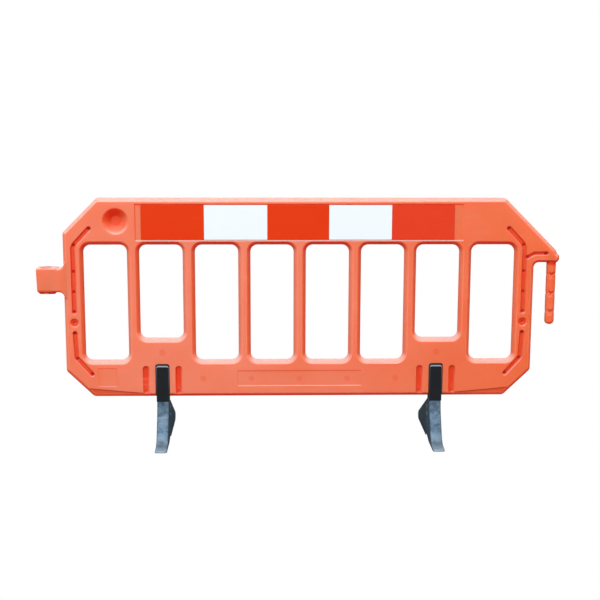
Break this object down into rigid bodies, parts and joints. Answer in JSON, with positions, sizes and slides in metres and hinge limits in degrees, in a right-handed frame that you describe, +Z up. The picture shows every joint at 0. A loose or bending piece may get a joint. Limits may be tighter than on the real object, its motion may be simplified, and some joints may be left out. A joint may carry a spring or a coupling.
{
  "type": "pedestrian barrier panel",
  "caption": "Orange hollow plastic barrier panel with windows and red and white reflective sheets, a link socket and peg at its ends, on push-fit steel feet with black sleeves.",
  "frame": {"origin": "on the ground, at the centre of the whole object's plan", "axes": "+X along the panel from the link socket to the link peg, +Y from the toes to the heels, +Z up"},
  "size_m": [2.099, 0.4999, 1],
  "materials": {
    "orange_moulding": "satin moulded",
    "red_reflective_sheet": "retroreflective",
    "white_reflective_sheet": "retroreflective",
    "galvanised_steel": "hot-dip galvanised",
    "black_sleeve": "satin moulded",
    "zinc_fasteners": "zinc plated"
  },
  "bodies": {
    "panel": {"panel": "orange_moulding", "red_sheet_left": "red_reflective_sheet", "white_sheet_left": "white_reflective_sheet", "red_sheet_centre": "red_reflective_sheet", "white_sheet_right": "white_reflective_sheet", "red_sheet_right": "red_reflective_sheet"},
    "left_foot": {"left_foot_plate": "galvanised_steel", "left_front_sleeve": "black_sleeve", "left_rear_arm": "galvanised_steel", "left_rear_sleeve": "black_sleeve", "left_foot_bolts": "zinc_fasteners", "left_foot_washers": "zinc_fasteners", "left_foot_nuts": "zinc_fasteners"},
    "right_foot": {"right_foot_plate": "galvanised_steel", "right_front_sleeve": "black_sleeve", "right_rear_arm": "galvanised_steel", "right_rear_sleeve": "black_sleeve", "right_foot_bolts": "zinc_fasteners", "right_foot_washers": "zinc_fasteners", "right_foot_nuts": "zinc_fasteners"}
  },
  "joints": [
    {"name": "left_foot_slide", "type": "slide", "parent": "panel", "child": "left_foot", "axis": [0, 0, -1], "range_m": [0, 0.13]},
    {"name": "right_foot_slide", "type": "slide", "parent": "panel", "child": "right_foot", "axis": [0, 0, -1], "range_m": [0, 0.13]}
  ]
}
